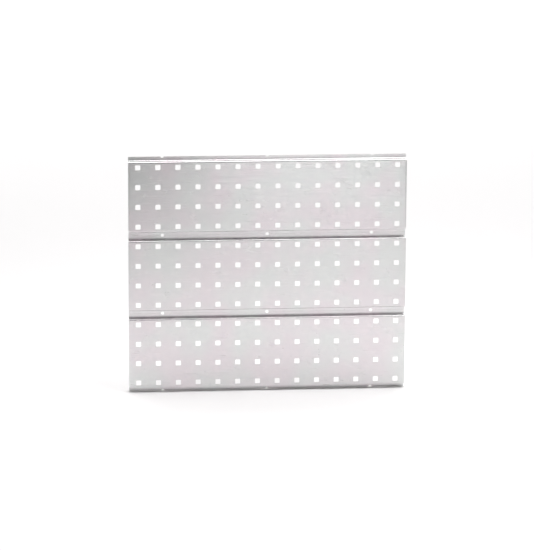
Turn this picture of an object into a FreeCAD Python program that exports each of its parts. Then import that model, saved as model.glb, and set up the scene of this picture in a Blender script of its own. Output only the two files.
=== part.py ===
import FreeCAD, Part
import math
import os

# Pegboard tool wall: three identical trays of folded sheet steel, one above the other, that screw flat to
# a wall. Square holes in their raised faces take tool hooks, and narrow flanges along their long edges
# lie on the wall.
# Millimetres. +X runs to the right along the panels, +Z is up, and the faces look towards -Y.
# The origin is on the wall plane, in the middle of the pattern of screw holes.

# The sheet and its folds
SHEET = 1.0
INNER_BEND = 1.5
DEPTH = 15.0                # from the wall plane to the front of the faces

# The square holes for the hooks
HOLE_PITCH = 38.0
HOLE_SIDE = 10.0
HOLE_CORNER = 0.5           # radius that the punch leaves in a hole's corners
COLUMNS = 14
ROWS = 4                    # on each panel

# The edges of a panel
SIDE_MARGIN = 18.0          # from the last column of holes to the outside of the side fold
WEB_MARGIN = 11.0           # from the last row of holes to the outside of the web above or below it
CORNER_SLIT = 1.0           # between a side fold and the folded edge beside it
EDGE_SETBACK = 0.5          # of the folded edges' ends from the outside of the side folds
WALL_CLEARANCE = 1.0        # from the side folds' free edges to the wall
SEAM_CLEARANCE = 0.3        # between the flanges of two panels

# The screw holes, each made of two half-round notches that meet on a seam
SCREW_HOLE_RADIUS = 3.25
SCREW_SPACING = 200.0
SCREW_COLUMNS = 3

PANELS = ("top_panel", "middle_panel", "bottom_panel")

# What follows from them
OUTER_BEND = INNER_BEND + SHEET
PANEL_PITCH = ROWS * HOLE_PITCH     # so that the rows of holes run on evenly across a seam
HALF_WIDTH = (COLUMNS - 1) * HOLE_PITCH / 2 + SIDE_MARGIN
WEB = (ROWS - 1) * HOLE_PITCH / 2 + WEB_MARGIN      # height of the webs' outsides above and below centre
FLANGE_EDGE = (PANEL_PITCH - SEAM_CLEARANCE) / 2
FACE_FRONT = -DEPTH
FOLD_X = HALF_WIDTH - OUTER_BEND    # where the flat of the face ends at the sides
FOLD_Z = WEB - OUTER_BEND           # and at the top and bottom


def quarter(centre, radius, start, end):
    """A quarter circle about +Z, between two angles in degrees from +X."""
    def at(angle):
        turn = math.radians(angle)
        return centre + radius * FreeCAD.Vector(math.cos(turn), math.sin(turn), 0)
    return Part.Arc(at(start), at((start + end) / 2), at(end)).toShape()


def joined(curves):
    """A flat face bounded by the curves in turn, with straight lines from each to the next."""
    edges = []
    for curve, following in zip(curves, curves[1:] + curves[:1]):
        edges += [curve, Part.makeLine(curve.lastVertex(True).Point, following.firstVertex(True).Point)]
    return Part.Face(Part.Wire(edges))


def both_sides(shape, normal):
    """A shape and its mirror image about the origin."""
    return [shape, shape.mirror(FreeCAD.Vector(), normal)]


def side_fold():
    """The right-hand edge of the face, folded back towards the wall."""
    centre = FreeCAD.Vector(FOLD_X, FACE_FRONT + OUTER_BEND, 0)
    free_edge = Part.makeLine(FreeCAD.Vector(HALF_WIDTH, -WALL_CLEARANCE, 0),
                              FreeCAD.Vector(HALF_WIDTH - SHEET, -WALL_CLEARANCE, 0))
    section = joined([quarter(centre, OUTER_BEND, -90, 0), free_edge, quarter(centre, INNER_BEND, 0, -90)])
    half_height = FOLD_Z - CORNER_SLIT
    section.translate(FreeCAD.Vector(0, 0, -half_height))
    return section.extrude(FreeCAD.Vector(0, 0, 2 * half_height))


def folded_edge():
    """The top edge of the face, folded back as the web and up again as the flange on the wall."""
    # drawn with height along +X, and stood up at the end
    front = FreeCAD.Vector(FOLD_Z, FACE_FRONT + OUTER_BEND, 0)
    root = FreeCAD.Vector(WEB + INNER_BEND, -OUTER_BEND, 0)
    free_edge = Part.makeLine(FreeCAD.Vector(FLANGE_EDGE, -SHEET, 0), FreeCAD.Vector(FLANGE_EDGE, 0, 0))
    section = joined([
        quarter(front, OUTER_BEND, -90, 0),
        quarter(root, INNER_BEND, 180, 90),
        free_edge,
        quarter(root, OUTER_BEND, 90, 180),
        quarter(front, INNER_BEND, 0, -90),
    ])
    half_length = HALF_WIDTH - EDGE_SETBACK
    section.rotate(FreeCAD.Vector(), FreeCAD.Vector(0, 1, 0), -90)
    section.translate(FreeCAD.Vector(-half_length, 0, 0))
    return section.extrude(FreeCAD.Vector(2 * half_length, 0, 0))


def centred(count, spacing):
    """Evenly spaced places either side of zero."""
    return [(i - (count - 1) / 2) * spacing for i in range(count)]


def hook_holes():
    """The punches that cut the square holes through the face."""
    punch = Part.makeBox(HOLE_SIDE, 3 * SHEET, HOLE_SIDE,
                         FreeCAD.Vector(-HOLE_SIDE / 2, FACE_FRONT - SHEET, -HOLE_SIDE / 2))
    corners = [e for e in punch.Edges if abs(e.tangentAt(e.FirstParameter).y) > 0.5]
    punch = punch.makeFillet(HOLE_CORNER, corners)
    return [punch.translated(FreeCAD.Vector(x, 0, z))
            for x in centred(COLUMNS, HOLE_PITCH) for z in centred(ROWS, HOLE_PITCH)]


def screw_notches():
    """The round punches that notch both flanges, centred on the seams."""
    return [Part.makeCylinder(SCREW_HOLE_RADIUS, 3 * SHEET, FreeCAD.Vector(x, -2 * SHEET, z),
                              FreeCAD.Vector(0, 1, 0))
            for x in centred(SCREW_COLUMNS, SCREW_SPACING) for z in (-PANEL_PITCH / 2, PANEL_PITCH / 2)]


def panel():
    face = Part.makeBox(2 * FOLD_X, SHEET, 2 * FOLD_Z, FreeCAD.Vector(-FOLD_X, FACE_FRONT, -FOLD_Z))
    folds = both_sides(side_fold(), FreeCAD.Vector(1, 0, 0))
    folds += both_sides(folded_edge(), FreeCAD.Vector(0, 0, 1))
    tray = face.fuse(folds).removeSplitter()
    return tray.cut(hook_holes() + screw_notches()).Solids[0]


os.makedirs("parts", exist_ok=True)
blank = panel()
for name, height in zip(PANELS, reversed(centred(len(PANELS), PANEL_PITCH))):
    blank.translated(FreeCAD.Vector(0, 0, height)).exportStep(f"parts/{name}.step")
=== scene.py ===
import bmesh
import bpy
import math
from mathutils import Matrix, Vector


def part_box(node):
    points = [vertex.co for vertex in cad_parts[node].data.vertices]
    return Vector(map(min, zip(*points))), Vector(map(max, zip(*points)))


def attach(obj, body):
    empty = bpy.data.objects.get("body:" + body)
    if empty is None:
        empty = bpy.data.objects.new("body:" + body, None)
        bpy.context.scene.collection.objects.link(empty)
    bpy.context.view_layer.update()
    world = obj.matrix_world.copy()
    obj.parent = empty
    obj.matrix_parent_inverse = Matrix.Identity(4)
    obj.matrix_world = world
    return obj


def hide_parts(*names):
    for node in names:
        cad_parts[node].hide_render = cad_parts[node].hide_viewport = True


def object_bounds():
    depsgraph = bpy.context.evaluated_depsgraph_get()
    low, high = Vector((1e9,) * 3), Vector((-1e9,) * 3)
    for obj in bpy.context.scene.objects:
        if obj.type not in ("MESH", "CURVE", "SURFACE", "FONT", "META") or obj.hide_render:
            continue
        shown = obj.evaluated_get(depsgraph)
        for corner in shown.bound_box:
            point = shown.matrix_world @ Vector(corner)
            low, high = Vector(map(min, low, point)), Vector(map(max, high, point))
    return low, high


# Pegboard tool wall: three folded trays of zinc-coated sheet steel, one above the other, punched with
# square holes for tool hooks. Metres. +X runs along the panels, +Z is up, and the faces look to -Y.

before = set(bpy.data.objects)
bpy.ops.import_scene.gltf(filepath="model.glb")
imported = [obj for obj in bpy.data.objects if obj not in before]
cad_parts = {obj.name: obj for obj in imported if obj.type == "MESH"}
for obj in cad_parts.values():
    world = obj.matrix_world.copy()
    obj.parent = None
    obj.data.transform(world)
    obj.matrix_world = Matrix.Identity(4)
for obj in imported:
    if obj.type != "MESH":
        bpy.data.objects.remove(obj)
cad_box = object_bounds()
cad_low, cad_high = cad_box


# ---- The camera ------------------------------------------------------------------------------------
# It stands well back with a long lens, a little to the left of the wall and above it, so that the
# panels keep almost parallel edges and the upward flanges show. It leans over by a quarter of a degree.

camera_data = bpy.data.cameras.new("studio_camera")
camera_data.lens = 211.2
camera_data.sensor_width = 36.0
camera_data.clip_start, camera_data.clip_end = 0.1, 200.0
camera = bpy.data.objects.new("studio_camera", camera_data)
camera.location = (-0.554, -6.0, 1.301)
camera_aim = Vector((-0.0007, -0.0075, -0.003))
camera_lean = math.radians(0.229)
camera.rotation_mode = "QUATERNION"
towards_the_wall = (camera_aim - camera.location).to_track_quat("-Z", "Y")
camera.rotation_quaternion = towards_the_wall @ Matrix.Rotation(camera_lean, 3, "Z").to_quaternion()
bpy.context.scene.collection.objects.link(camera)
bpy.context.scene.camera = camera
bpy.context.scene.view_settings.view_transform = "Standard"


# ---- The studio floor ------------------------------------------------------------------------------
# A sheet of matt white background card, far larger than the wall, which stands on it upright.

def linear(hex_colour):
    """An sRGB colour such as "D9D5D6" as the linear colour, with alpha, that a shader socket takes."""
    channels = [int(hex_colour[i:i + 2], 16) / 255 for i in (0, 2, 4)]
    return [c / 12.92 if c <= 0.04045 else ((c + 0.055) / 1.055) ** 2.4 for c in channels] + [1.0]


def node(tree, kind, settings=(), links=()):
    """Adds one node. A setting's name is that of an input, or else of a property of the node."""
    new = tree.nodes.new(kind)
    for name, value in dict(settings).items():
        if isinstance(name, int) or name in new.inputs:
            new.inputs[name].default_value = value
        else:
            setattr(new, name, value)
    for name, output in dict(links).items():
        tree.links.new(output, new.inputs[name])
    return new


def new_material(name):
    """An empty material and its node tree."""
    material = bpy.data.materials.new(name)
    material.use_nodes = True
    material.node_tree.nodes.clear()
    return material, material.node_tree


def new_piece(name, bm, materials):
    """A finished bmesh as an object at the origin, with its place in its mesh."""
    mesh = bpy.data.meshes.new(name)
    bm.to_mesh(mesh)
    bm.free()
    piece = bpy.data.objects.new(name, mesh)
    for material in materials:
        mesh.materials.append(material)
    bpy.context.scene.collection.objects.link(piece)
    return piece


FLOOR_REACH = 30.0
FLOOR_GAP = 0.0005

card, tree = new_material("matt_white_card")
surface = node(tree, "ShaderNodeBsdfPrincipled",
               {"Base Color": linear("F4F3F3"), "Roughness": 0.9, "Specular IOR Level": 0.2})
node(tree, "ShaderNodeOutputMaterial", links={"Surface": surface.outputs["BSDF"]})

bm = bmesh.new()
bmesh.ops.create_grid(bm, x_segments=1, y_segments=1, size=FLOOR_REACH)
bmesh.ops.translate(bm, vec=(0, 0, cad_low.z - FLOOR_GAP), verts=bm.verts[:])
floor = new_piece("studio_floor", bm, [card])


# ---- The studio light ------------------------------------------------------------------------------
# Soft lights overhead and on both sides light the wall and the floor round it, and two large ones
# behind keep the floor white. A low strip in front is what gives the sheet its bright middle and
# right, a fill over the camera lights the flanges, and the dim room shades the rest. The lights
# themselves are kept out of every view.

def softbox(name, place, aim, width, height, brightness):
    """A rectangular soft light that faces a point. Brightness 1 is that of a fully lit white card."""
    light = bpy.data.lights.new(name, "AREA")
    light.shape = "RECTANGLE"
    light.size, light.size_y = width, height
    light.energy = math.pi * width * height * brightness
    box = bpy.data.objects.new(name, light)
    box.location = place
    box.rotation_euler = (Vector(aim) - Vector(place)).to_track_quat("-Z", "Y").to_euler()
    box.visible_camera = False
    bpy.context.scene.collection.objects.link(box)


softbox("overhead_key", (0, -0.25, 1.5), (0, -0.25, 0), 1.4, 0.9, 3.85)
softbox("overhead_right", (0.7, -0.7, 1.5), (0.7, -0.7, 0), 0.9, 0.9, 4.2)
softbox("left_softbox", (-0.9, -0.9, 1.0), (-0.1, -0.1, -0.2), 0.5, 0.5, 5.6)
softbox("right_softbox", (0.9, -0.9, 0.8), (0.1, -0.1, -0.2), 0.5, 0.5, 0.9)
softbox("high_right_softbox", (1.6, -0.6, 1.6), (0, 0, 0), 0.8, 0.8, 6.0)
softbox("low_strip", (0.33, -2.0, -0.08), (0.33, 0, -0.08), 0.66, 0.26, 1.35)
softbox("front_fill", (0.46, -5.0, 1.35), (0, 0, 0), 2.0, 0.9, 1.3)
softbox("background_light", (0, 4.5, 4.0), (0, 4.5, 0), 9.0, 7.0, 1.8)
softbox("far_background_light", (3, 17.0, 5.0), (3, 17.0, 0), 16.0, 18.0, 1.8)

room = bpy.data.worlds.new("studio_room")
room.use_nodes = True
tree = room.node_tree
tree.nodes.clear()
place = node(tree, "ShaderNodeTexCoord")
axes = node(tree, "ShaderNodeSeparateXYZ", links={"Vector": place.outputs["Generated"]})
front_to_back = node(tree, "ShaderNodeMapRange",
                     {"From Min": -0.3, "From Max": 0.6, "interpolation_type": "SMOOTHSTEP"},
                     {"Value": axes.outputs["Y"]})
room_colour = node(tree, "ShaderNodeMix", {"data_type": "RGBA", 6: linear("2E2627"), 7: linear("A6A4A5")},
                   {"Factor": front_to_back.outputs["Result"]})
backdrop = node(tree, "ShaderNodeBackground", {"Strength": 0.35}, {"Color": room_colour.outputs[2]})
node(tree, "ShaderNodeOutputWorld", links={"Surface": backdrop.outputs["Background"]})
bpy.context.scene.world = room


# ---- The three panels ------------------------------------------------------------------------------
# Each is one blank of 1 mm zinc-coated steel sheet. A press punches its square hook holes and the
# half-round screw notches in its long edges, and a brake folds the short edges back and the long edges
# back and out again, so that the panel stands off the wall on its two flanges.

MM = 0.001
SHEET = 1.0
OUTSIDE_BEND = 2.5              # radius on the outer side of every fold
ROOT_BEND = 1.5                 # radius in the hollow between a web and its flange
BEND_STEPS = 6

HOLE_PITCH = 38.0
HOLE_SIDE = 10.0
HOLE_COLUMNS = 14
HOLE_ROWS = 4
PUNCH_CORNER = 0.5              # radius that the square punch leaves in the corners of a hole

CORNER_SLIT = 1.0               # cut between a side fold and the fold beside it
WING = 2.0                      # of the long folds, past the flat of the face at each end
SIDE_FOLD_SHORT = 1.0           # how far the side folds end from the wall
WEB_TO_SEAM = 8.0               # from a web's outer side to the middle of the seam
NOTCH_RADIUS = 3.25
NOTCH_SPACING = 200.0
NOTCH_COUNT = 3
NOTCH_STEPS = 14

BLANK_CORNER = 0.3              # radius of the blank's own corners
CORNER_STEPS = 3
CORNER_TURN = math.radians(40)  # a sharper turn than this along a cut edge is one of its corners
DIE_ROLL = 0.15                 # the rounded edge where the punch goes in, on the outer side
BURR_SIDE = 0.08                # the crisp edge where it comes out

SAME_PLACE = 1e-3               # places nearer to each other than this count as one
ANY_REACH = 1e3


def centred(count, spacing):
    """Places evenly spaced on both sides of zero."""
    return [(i - (count - 1) / 2) * spacing for i in range(count)]


def cut_across(bm, axis, at):
    """Divides the sheet along a line where one coordinate has this value."""
    normal = Vector([float(i == axis) for i in range(3)])
    bmesh.ops.bisect_plane(bm, geom=bm.verts[:] + bm.edges[:] + bm.faces[:], dist=1e-5,
                           plane_co=normal * at, plane_no=normal)


def edges_on(bm, axis, at, reach_axis, reach):
    """The free edges that lie on a line, out to a distance each side of its middle."""
    return [e for e in bm.edges if len(e.link_faces) < 2
            and all(abs(v.co[axis] - at) < SAME_PLACE and abs(v.co[reach_axis]) < reach + SAME_PLACE
                    for v in e.verts)]


def with_ends(edges):
    return edges + list({v for e in edges for v in e.verts})


def bend(bm, edges, centre, axis, degrees):
    """Rolls the sheet on from these edges round the middle of a bend, and gives the new edges."""
    done = bmesh.ops.spin(bm, geom=with_ends(edges), cent=centre, axis=axis, dvec=(0, 0, 0),
                          angle=math.radians(degrees), steps=BEND_STEPS, use_duplicate=False)
    return [g for g in done["geom_last"] if isinstance(g, bmesh.types.BMEdge)]


def run_on(bm, edges, by):
    """Carries the sheet straight on from these edges, and gives the new edges."""
    done = bmesh.ops.extrude_edge_only(bm, edges=edges)["geom"]
    bmesh.ops.translate(bm, vec=by, verts=[g for g in done if isinstance(g, bmesh.types.BMVert)])
    return [g for g in done if isinstance(g, bmesh.types.BMEdge)]


def half_round_notch(bm, centre_x, seam_z, edge_z):
    """Bites a half-round notch into a flange's free edge, round a point on the seam."""
    mouth = [e for e in edges_on(bm, 2, edge_z, 0, ANY_REACH)
             if min(v.co.x for v in e.verts) < centre_x < max(v.co.x for v in e.verts)]
    made = bmesh.ops.subdivide_edges(bm, edges=mouth, cuts=NOTCH_STEPS + 1)["geom_inner"]
    rim = sorted((g for g in made if isinstance(g, bmesh.types.BMVert)), key=lambda v: v.co.x)
    first = math.asin(abs(seam_z - edge_z) / NOTCH_RADIUS)
    for i, v in enumerate(rim):
        turn = first + (math.pi - 2 * first) * i / NOTCH_STEPS
        v.co.x = centre_x - NOTCH_RADIUS * math.cos(turn)
        v.co.z = seam_z - math.copysign(NOTCH_RADIUS * math.sin(turn), seam_z)


def folded_panel(low, high):
    """One panel as a bmesh in metres, with "cut_edge" marking what the punch and the shear left bare."""
    half_width = (high.x - low.x) / MM / 2
    half_height = (high.z - low.z) / MM / 2
    depth = (high.y - low.y) / MM
    seam = round(half_height)                   # the gap between two flanges lies on a whole millimetre
    web = seam - WEB_TO_SEAM
    flat_x, flat_z = half_width - OUTSIDE_BEND, web - OUTSIDE_BEND

    # the flat face with its holes
    bm = bmesh.new()
    bmesh.ops.create_grid(bm, x_segments=1, y_segments=1, size=1.0)
    bmesh.ops.scale(bm, vec=(flat_x, flat_z, 1), verts=bm.verts[:])
    bmesh.ops.rotate(bm, cent=(0, 0, 0), matrix=Matrix.Rotation(math.radians(90), 3, "X"), verts=bm.verts[:])
    bmesh.ops.translate(bm, vec=(0, -depth, 0), verts=bm.verts[:])
    columns, rows = centred(HOLE_COLUMNS, HOLE_PITCH), centred(HOLE_ROWS, HOLE_PITCH)
    for axis, middles in ((0, columns), (2, rows)):
        for middle in middles:
            for edge in (-HOLE_SIDE / 2, HOLE_SIDE / 2):
                cut_across(bm, axis, middle + edge)
    for z in (CORNER_SLIT - flat_z, flat_z - CORNER_SLIT):
        cut_across(bm, 2, z)

    def in_a_hole(point, over=0.0):
        return (min(abs(point.x - x) for x in columns) < HOLE_SIDE / 2 + over
                and min(abs(point.z - z) for z in rows) < HOLE_SIDE / 2 + over)

    punched_out = [f for f in bm.faces if in_a_hole(f.calc_center_median())]
    bmesh.ops.delete(bm, geom=punched_out, context="FACES")

    # the short edges fold straight back
    for side in (-1, 1):
        edges = edges_on(bm, 0, side * flat_x, 2, flat_z - CORNER_SLIT)
        edges = bend(bm, edges, (side * flat_x, OUTSIDE_BEND - depth, 0), (0, 0, 1), side * 90)
        run_on(bm, edges, (0, depth - OUTSIDE_BEND - SIDE_FOLD_SHORT, 0))

    # the long edges fold back to a web, and out again to a flange on the wall
    for side in (-1, 1):
        edges = edges_on(bm, 2, side * flat_z, 0, flat_x)
        edges = [e for e in edges if all(abs(v.co.y + depth) < SAME_PLACE for v in e.verts)]
        for end in (-1, 1):
            corner = [v for e in edges for v in e.verts if abs(v.co.x - end * flat_x) < SAME_PLACE][:1]
            wing = bmesh.ops.extrude_vert_indiv(bm, verts=corner)
            bmesh.ops.translate(bm, vec=(end * WING, 0, 0), verts=wing["verts"])
            edges += wing["edges"]
        edges = bend(bm, edges, (0, OUTSIDE_BEND - depth, side * flat_z), (1, 0, 0), side * -90)
        edges = run_on(bm, edges, (0, depth - OUTSIDE_BEND - SHEET - ROOT_BEND, 0))
        edges = bend(bm, edges, (0, -SHEET - ROOT_BEND, side * (web + ROOT_BEND)), (1, 0, 0), side * 90)
        edges = run_on(bm, edges, (0, 0, side * (half_height - web - ROOT_BEND)))
        for x in centred(NOTCH_COUNT, NOTCH_SPACING):
            half_round_notch(bm, x, side * seam, side * half_height)

    bmesh.ops.remove_doubles(bm, verts=bm.verts[:], dist=1e-4)
    bmesh.ops.recalc_face_normals(bm, faces=bm.faces[:])
    front = max((f for f in bm.faces if abs(f.normal.y) > 0.99), key=lambda f: -f.calc_center_median().y)
    if front.normal.y > 0:
        bmesh.ops.reverse_faces(bm, faces=bm.faces[:])

    # the sheet's thickness, on the inner side of the skin made so far
    skin_verts = set(bm.verts)
    bmesh.ops.solidify(bm, geom=bm.faces[:], thickness=SHEET)
    cut_edge = bm.faces.layers.float.new("cut_edge")
    outer_skin = bm.faces.layers.int.new("outer_skin")
    for f in bm.faces:
        on_skin = sum(v in skin_verts for v in f.verts)
        f[outer_skin] = int(on_skin == len(f.verts))
        f[cut_edge] = float(0 < on_skin < len(f.verts))

    # the corners of the holes, then those of the blank and its notches
    for in_holes, radius in ((True, PUNCH_CORNER), (False, BLANK_CORNER)):
        bm.normal_update()
        corners = [e for e in bm.edges if len(e.link_faces) == 2 and all(f[cut_edge] for f in e.link_faces)
                   and e.calc_face_angle() > CORNER_TURN
                   and all(v.co.y < 2 * SHEET - depth and in_a_hole(v.co, 0.01)
                           for v in e.verts) == in_holes]
        bmesh.ops.bevel(bm, geom=corners, affect="EDGES", offset=radius, offset_type="OFFSET",
                        segments=CORNER_STEPS, profile=0.5, material=-1, clamp_overlap=False)

    # the edge that the punch or the shear draws in on the outer side, and the crisp one behind
    for outer, radius, steps in ((1, DIE_ROLL, 2), (0, BURR_SIDE, 1)):
        rims = []
        for e in bm.edges:
            bare = [f for f in e.link_faces if f[cut_edge]]
            skin = [f for f in e.link_faces if not f[cut_edge] and f[outer_skin] == outer]
            if len(bare) == len(skin) == 1:
                rims.append(e)
        bmesh.ops.bevel(bm, geom=rims, affect="EDGES", offset=radius, offset_type="OFFSET", segments=steps,
                        profile=0.5, material=-1, clamp_overlap=False)

    bmesh.ops.scale(bm, vec=(MM, MM, MM), verts=bm.verts[:])
    bmesh.ops.translate(bm, vec=(0, 0, (low.z + high.z) / 2), verts=bm.verts[:])
    for f in bm.faces:
        f.smooth = True
    return bm


# Cold-rolled steel sheet, zinc-coated and left satin as it comes from the mill: a bright grey metal with
# fine rolling lines along the panel, faint zinc crystals, and soft clouds of warmer and cooler grey. The
# punch and the shear leave duller bare steel on the edges that they cut.
ROLLING_LINE = (60.0, 0.8, 0.8)     # length and width; really about 0.1 mm wide, drawn coarser to show
ZINC_CRYSTAL = 5.0
GREY_CLOUD = 75.0
HANDLING_MARK = 22.0
SHEET_WAVE = 130.0                  # distance between the soft buckles of a sheet that was once a coil
WAVE_DEPTH = 0.06
LINE_DEPTH = 0.003

zinc, tree = new_material("satin_zinc_coated_steel")
place = node(tree, "ShaderNodeTexCoord").outputs["Object"]
along = node(tree, "ShaderNodeMapping", {"Scale": [1 / (size * MM) for size in ROLLING_LINE]},
             {"Vector": place}).outputs["Vector"]
lines = node(tree, "ShaderNodeTexNoise", {"Scale": 1.0, "Detail": 3.0, "Roughness": 0.6},
             {"Vector": along}).outputs["Fac"]
crystals = node(tree, "ShaderNodeTexVoronoi", {"Scale": 1 / (ZINC_CRYSTAL * MM), "Randomness": 1.0},
                {"Vector": place}).outputs["Color"]
crystal = node(tree, "ShaderNodeSeparateColor", links={"Color": crystals}).outputs["Red"]
clouds = node(tree, "ShaderNodeTexNoise", {"Scale": 1 / (GREY_CLOUD * MM), "Detail": 2.0, "Roughness": 0.5},
              {"Vector": place}).outputs["Fac"]
marks = node(tree, "ShaderNodeTexNoise",
             {"Scale": 1 / (HANDLING_MARK * MM), "Detail": 4.0, "Roughness": 0.55, "Distortion": 0.6},
             {"Vector": place}).outputs["Fac"]
waves = node(tree, "ShaderNodeTexNoise", {"Scale": 1 / (SHEET_WAVE * MM), "Detail": 1.0},
             {"Vector": place}).outputs["Fac"]
cut = node(tree, "ShaderNodeAttribute", {"attribute_name": "cut_edge"}).outputs["Fac"]

warm_or_cool = node(tree, "ShaderNodeMapRange", {"From Min": 0.38, "From Max": 0.62}, {"Value": clouds})
grey = node(tree, "ShaderNodeMix", {"data_type": "RGBA", 6: linear("DDD6D9"), 7: linear("D9DAD9")},
            {"Factor": warm_or_cool.outputs["Result"]})
glint = node(tree, "ShaderNodeMapRange", {"To Min": 0.0, "To Max": 0.16}, {"Value": crystal})
spangled = node(tree, "ShaderNodeMix", {"data_type": "RGBA", 7: linear("B4B7BE")},
                {"Factor": glint.outputs["Result"], 6: grey.outputs[2]})
steel = node(tree, "ShaderNodeMix", {"data_type": "RGBA", 7: linear("A09C98")},
             {"Factor": cut, 6: spangled.outputs[2]})

satin = node(tree, "ShaderNodeMapRange", {"From Min": 0.3, "From Max": 0.7, "To Min": 0.22, "To Max": 0.28},
             {"Value": lines})
handled = node(tree, "ShaderNodeMapRange",
               {"From Min": 0.55, "From Max": 0.75, "To Min": 0.0, "To Max": 0.025},
               {"Value": marks})
dulled = node(tree, "ShaderNodeMath", {"operation": "ADD"},
              {0: satin.outputs["Result"], 1: handled.outputs["Result"]})
roughness = node(tree, "ShaderNodeMix", {"data_type": "FLOAT", 3: 0.48}, {0: cut, 2: dulled.outputs[0]})

buckled = node(tree, "ShaderNodeBump", {"Strength": 1.0, "Distance": WAVE_DEPTH * MM}, {"Height": waves})
rolled = node(tree, "ShaderNodeBump", {"Strength": 1.0, "Distance": LINE_DEPTH * MM},
              {"Height": lines, "Normal": buckled.outputs["Normal"]})
surface = node(tree, "ShaderNodeBsdfPrincipled", {"Metallic": 1.0},
               {"Base Color": steel.outputs[2], "Roughness": roughness.outputs[0],
                "Normal": rolled.outputs["Normal"]})
node(tree, "ShaderNodeOutputMaterial", links={"Surface": surface.outputs["BSDF"]})

for name in ("top_panel", "middle_panel", "bottom_panel"):
    panel = new_piece("folded_" + name, folded_panel(*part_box(name)), [zinc])
    even = panel.modifiers.new("even_shading", "WEIGHTED_NORMAL")
    even.mode, even.weight, even.keep_sharp = "FACE_AREA", 50, True
    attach(panel, "root")
    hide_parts(name)
